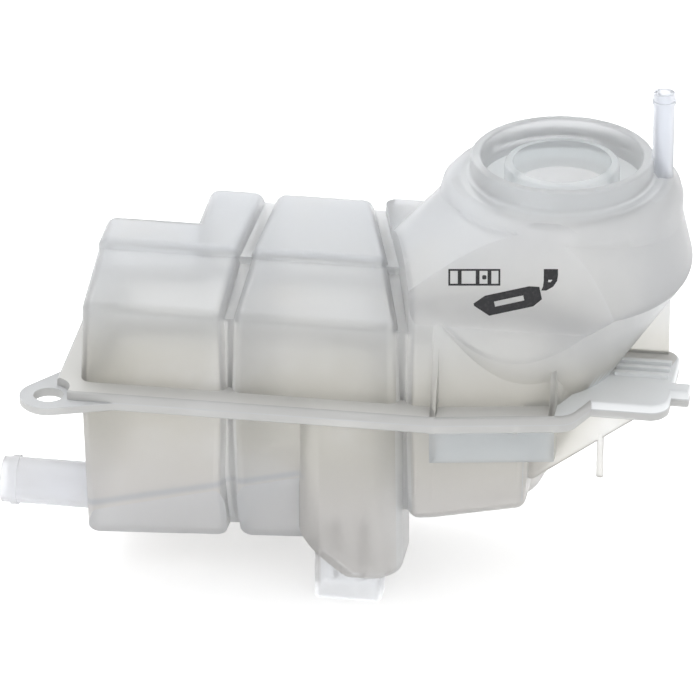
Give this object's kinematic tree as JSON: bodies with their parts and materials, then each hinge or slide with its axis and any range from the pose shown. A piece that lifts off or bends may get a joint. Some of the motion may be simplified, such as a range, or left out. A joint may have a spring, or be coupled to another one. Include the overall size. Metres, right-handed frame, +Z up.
{
  "type": "coolant expansion tank",
  "caption": "Translucent plastic coolant expansion tank of welded halves, with filler neck, vent nipple, hose nozzle, level sensor well with electrodes, and mounting ear.",
  "frame": {"origin": "middle of the mounting ear's bore, halfway through the ear", "axes": "+X along the tank to the filler end, +Y to the rear, +Z up out of the filler neck"},
  "size_m": [0.2955, 0.1443, 0.214],
  "materials": {
    "natural_polypropylene": "uncoloured, translucent, lightly textured moulding",
    "electrode_steel": "drawn stainless pin"
  },
  "bodies": {
    "root": {"upper_shell": "natural_polypropylene", "lower_shell": "natural_polypropylene", "level_electrode_left": "electrode_steel", "level_electrode_right": "electrode_steel"}
  },
  "joints": []
}
